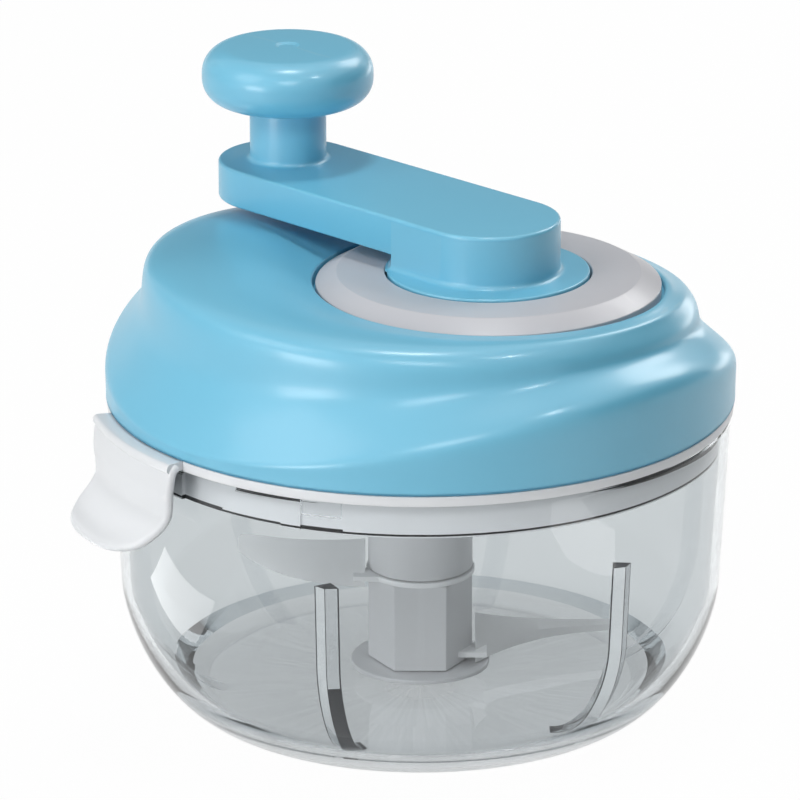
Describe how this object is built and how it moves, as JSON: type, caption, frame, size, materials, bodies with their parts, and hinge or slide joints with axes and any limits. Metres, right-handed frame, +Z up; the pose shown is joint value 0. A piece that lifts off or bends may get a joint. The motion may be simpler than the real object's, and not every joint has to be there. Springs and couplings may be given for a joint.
{
  "type": "hand crank food chopper",
  "caption": "Hand-crank food chopper: clear ribbed bowl, pale blue swirl-shaped lid with an off-centre crank, inner gears and a two-blade rotor.",
  "frame": {"origin": "centre of the bowl's flat underside", "axes": "+Z up along the bowl's axis, +X to the right and +Y to the back with the lift tab on the left"},
  "size_m": [0.1582, 0.1506, 0.1512],
  "materials": {
    "clear_plastic": "clear moulded, polished",
    "blue_plastic": "gloss moulded",
    "white_plastic": "gloss moulded",
    "grey_plastic": "satin moulded",
    "rotor_white": "satin moulded",
    "acetal": "plain moulded",
    "silicone": "matte",
    "steel": "plain",
    "blade_steel": "ground"
  },
  "bodies": {
    "base": {"bowl": "clear_plastic", "centre_pin": "steel"},
    "lid": {"lid_base": "white_plastic", "lid_seal": "silicone", "lift_tab": "white_plastic", "lid_cover": "blue_plastic", "cover_screw_1": "steel", "cover_screw_2": "steel", "cover_screw_3": "steel", "cover_screw_4": "steel", "trim_ring": "grey_plastic", "crank_bush": "acetal"},
    "crank": {"crank_arm": "blue_plastic", "ring_gear": "acetal", "crank_washer": "steel", "crank_screw": "steel", "knob_pin": "steel"},
    "knob": {"crank_knob": "blue_plastic"},
    "drive": {"drive_shaft": "white_plastic", "shaft_clip": "steel", "drive_pinion": "acetal"},
    "rotor": {"blade_column": "rotor_white", "column_foot": "rotor_white", "upper_blade": "blade_steel", "lower_blade": "blade_steel"}
  },
  "joints": [
    {"name": "lid_lift", "type": "slide", "parent": "base", "child": "lid", "axis": [0, 0, 1], "range_m": [0, 0.09]},
    {"name": "crank_turn", "type": "hinge", "parent": "lid", "child": "crank", "pos_m": [0.01599, -0.00826, 0.11], "axis": [0, 0, 1], "continuous": true},
    {"name": "knob_spin", "type": "hinge", "parent": "crank", "child": "knob", "pos_m": [-0.03223, 0.03997, 0.145], "axis": [0, 0, 1], "continuous": true},
    {"name": "drive_turn", "type": "hinge", "parent": "lid", "child": "drive", "pos_m": [0, 0, 0.075], "axis": [0, 0, 1], "continuous": true},
    {"name": "rotor_turn", "type": "hinge", "parent": "base", "child": "rotor", "pos_m": [0, 0, 0.03], "axis": [0, 0, 1], "continuous": true}
  ],
  "couplings": [
    {"joint": "drive_turn", "follows": "crank_turn", "ratio": 3.25},
    {"joint": "rotor_turn", "follows": "crank_turn", "ratio": 3.25}
  ]
}
